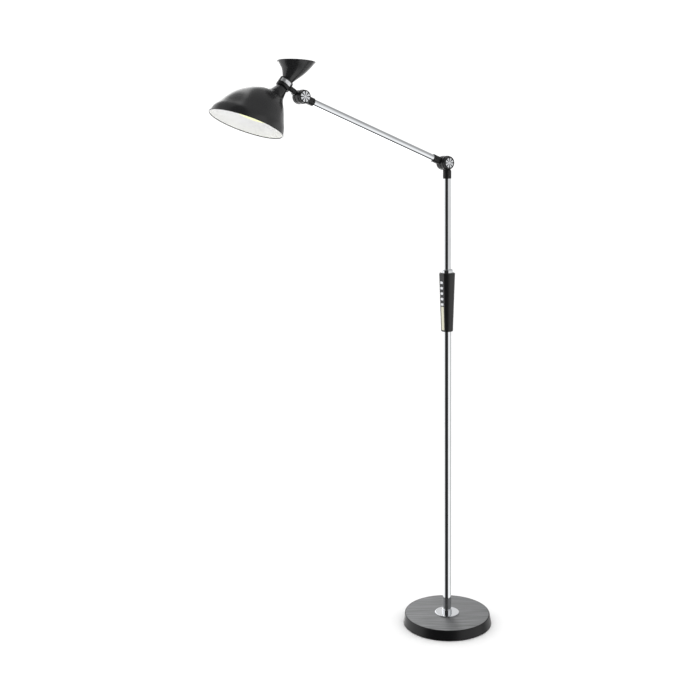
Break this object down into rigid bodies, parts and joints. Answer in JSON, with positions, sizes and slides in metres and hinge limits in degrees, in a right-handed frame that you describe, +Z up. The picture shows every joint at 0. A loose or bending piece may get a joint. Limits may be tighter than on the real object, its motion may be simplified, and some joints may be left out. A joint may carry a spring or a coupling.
{
  "type": "adjustable arm floor lamp",
  "caption": "Floor lamp with a round weighted base, chrome pole with a control grip, hinged chrome arm and a waisted black metal shade with a rear cone.",
  "frame": {"origin": "on the floor under the pole's axis, in the middle of the base", "axes": "+Z up along the pole, the arm reaches toward -X, the clamp knobs face -Y"},
  "size_m": [0.7649, 0.2416, 1.4813],
  "materials": {
    "black_paint": "satin black powder coat",
    "black_shade_paint": "spun aluminium, satin black outside and white inside",
    "black_casting": "die-cast, satin black paint",
    "black_plastic": "fine satin",
    "brushed_plate": "straight brushed, dark grey",
    "chrome": "polished",
    "iron": "as cast",
    "zinc_steel": "zinc plated",
    "rubber": "matt",
    "key_plastic": "bright silver",
    "light_lens": "frosted, warm",
    "board": "circuit board",
    "white_aluminium": "white paint"
  },
  "bodies": {
    "stand": {"base_cover": "black_paint", "base_weight": "iron", "base_top_plate": "brushed_plate", "floor_pad": "rubber", "cord_gland": "rubber", "pole_flange": "chrome", "pole_collar": "chrome", "collar_screw": "zinc_steel", "foot_plug": "zinc_steel", "foot_washer": "zinc_steel", "foot_bolt": "zinc_steel", "lower_pole": "chrome", "pole_joint": "zinc_steel", "upper_pole": "chrome", "housing": "black_plastic", "pole_ferrule": "chrome", "control_panel": "black_plastic", "control_board": "board", "key_switches": "zinc_steel", "board_ribs": "black_plastic", "night_light_lens": "light_lens", "night_light_strip": "board", "elbow_pole_half": "black_casting", "pole_set_screw": "zinc_steel", "elbow_washer": "black_plastic", "elbow_bolt": "zinc_steel"},
    "arm": {"elbow_arm_half": "black_casting", "elbow_cap": "black_plastic", "arm_set_screws": "zinc_steel", "arm_tube": "chrome", "head_arm_half": "black_casting", "head_washer": "black_plastic", "head_bolt": "zinc_steel"},
    "elbow_knob_body": {"elbow_knob": "black_plastic", "elbow_knob_face": "chrome"},
    "head_knob_body": {"head_knob": "black_plastic", "head_knob_face": "chrome"},
    "carrier": {"stem_and_ring": "black_casting", "head_cap": "black_plastic", "neck_band": "chrome", "band_screw": "chrome"},
    "head": {"neck_tube": "zinc_steel", "neck_nuts": "zinc_steel", "shade_dome": "black_shade_paint", "rear_cone": "black_shade_paint", "led_pan": "white_aluminium", "led_board": "white_aluminium", "led_diffuser": "light_lens", "led_post": "white_aluminium"},
    "key_body_1": {"key_1": "key_plastic"},
    "key_body_2": {"key_2": "key_plastic"},
    "key_body_3": {"key_3": "key_plastic"},
    "key_body_4": {"key_4": "key_plastic"},
    "key_body_5": {"key_5": "key_plastic"}
  },
  "joints": [
    {"name": "elbow_hinge", "type": "hinge", "parent": "stand", "child": "arm", "pos_m": [0, 0, 1.242], "axis": [0, 1, 0], "range_deg": [-35, 55]},
    {"name": "head_hinge", "type": "hinge", "parent": "arm", "child": "carrier", "pos_m": [-0.41692, 0.0136, 1.39871], "axis": [0, 1, 0], "range_deg": [-60, 55]},
    {"name": "head_swivel", "type": "hinge", "parent": "carrier", "child": "head", "pos_m": [-0.45996, 0.0151, 1.42645], "axis": [0.6428, 0, 0.766], "range_deg": [-60, 60]},
    {"name": "elbow_knob_turn", "type": "hinge", "parent": "stand", "child": "elbow_knob_body", "pos_m": [0, 0, 1.242], "axis": [0, 1, 0], "range_deg": [-90, 90]},
    {"name": "head_knob_turn", "type": "hinge", "parent": "arm", "child": "head_knob_body", "pos_m": [-0.41692, 0.0136, 1.39871], "axis": [0, 1, 0], "range_deg": [-90, 90]},
    {"name": "key_1_press", "type": "slide", "parent": "stand", "child": "key_body_1", "axis": [0.9994, 0, 0.0346], "range_m": [0, 0.0008], "stiffness_N_per_m": 400, "springref_m": -0.0004},
    {"name": "key_2_press", "type": "slide", "parent": "stand", "child": "key_body_2", "axis": [0.9994, 0, 0.0346], "range_m": [0, 0.0008], "stiffness_N_per_m": 400, "springref_m": -0.0004},
    {"name": "key_3_press", "type": "slide", "parent": "stand", "child": "key_body_3", "axis": [0.9994, 0, 0.0346], "range_m": [0, 0.0008], "stiffness_N_per_m": 400, "springref_m": -0.0004},
    {"name": "key_4_press", "type": "slide", "parent": "stand", "child": "key_body_4", "axis": [0.9994, 0, 0.0346], "range_m": [0, 0.0008], "stiffness_N_per_m": 400, "springref_m": -0.0004},
    {"name": "key_5_press", "type": "slide", "parent": "stand", "child": "key_body_5", "axis": [0.9994, 0, 0.0346], "range_m": [0, 0.0008], "stiffness_N_per_m": 400, "springref_m": -0.0004}
  ]
}
